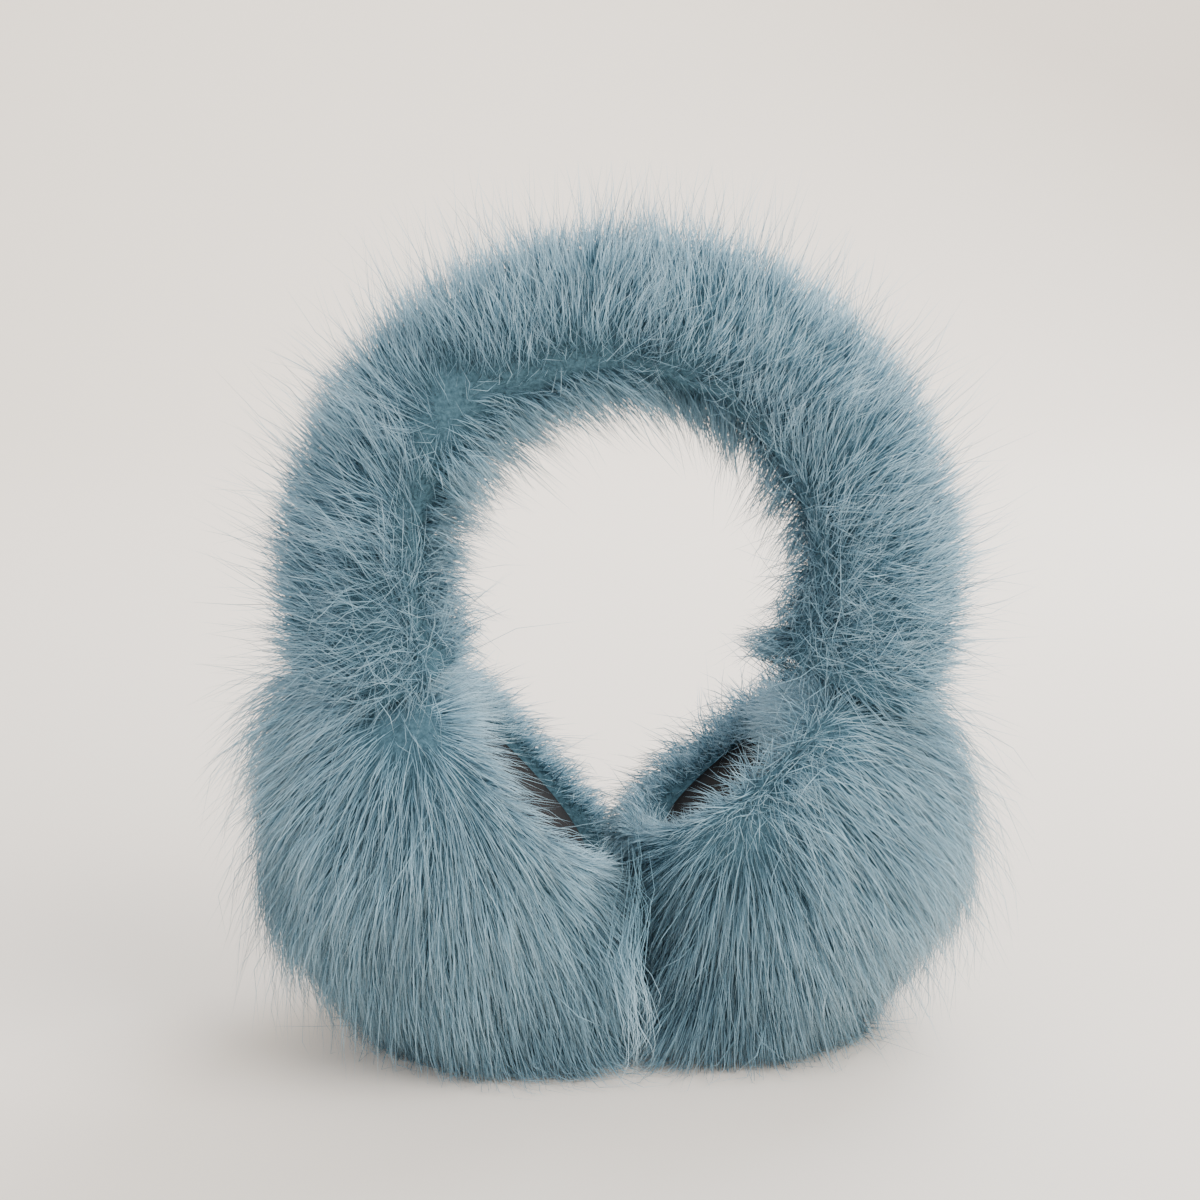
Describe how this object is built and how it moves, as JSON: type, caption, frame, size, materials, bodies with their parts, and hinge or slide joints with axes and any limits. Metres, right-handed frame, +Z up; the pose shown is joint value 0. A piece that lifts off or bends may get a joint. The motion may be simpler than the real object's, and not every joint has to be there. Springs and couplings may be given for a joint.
{
  "type": "fur earmuffs",
  "caption": "Fur-covered ring headband with a ball-like fur ear cup at each end, each cup recessed and lined for the ear; worn over the head to keep the ears warm.",
  "frame": {"origin": "centre of the footprint box, on the surface that both ear cups rest on", "axes": "+Z up through the crown of the headband, X from the left cup to the right cup, -Y towards the picture's side"},
  "size_m": [0.2136, 0.114, 0.2373],
  "materials": {
    "headband_fur": "long-pile faux fur, dusty steel blue",
    "ear_cup_fur": "long-pile faux fur, dusty steel blue",
    "ear_lining": "dark charcoal short-nap lining cloth"
  },
  "bodies": {
    "root": {"headband_fur": "headband_fur", "ear_cup_left": "ear_cup_fur", "ear_cup_right": "ear_cup_fur", "ear_lining_left": "ear_lining", "ear_lining_right": "ear_lining"}
  },
  "joints": []
}
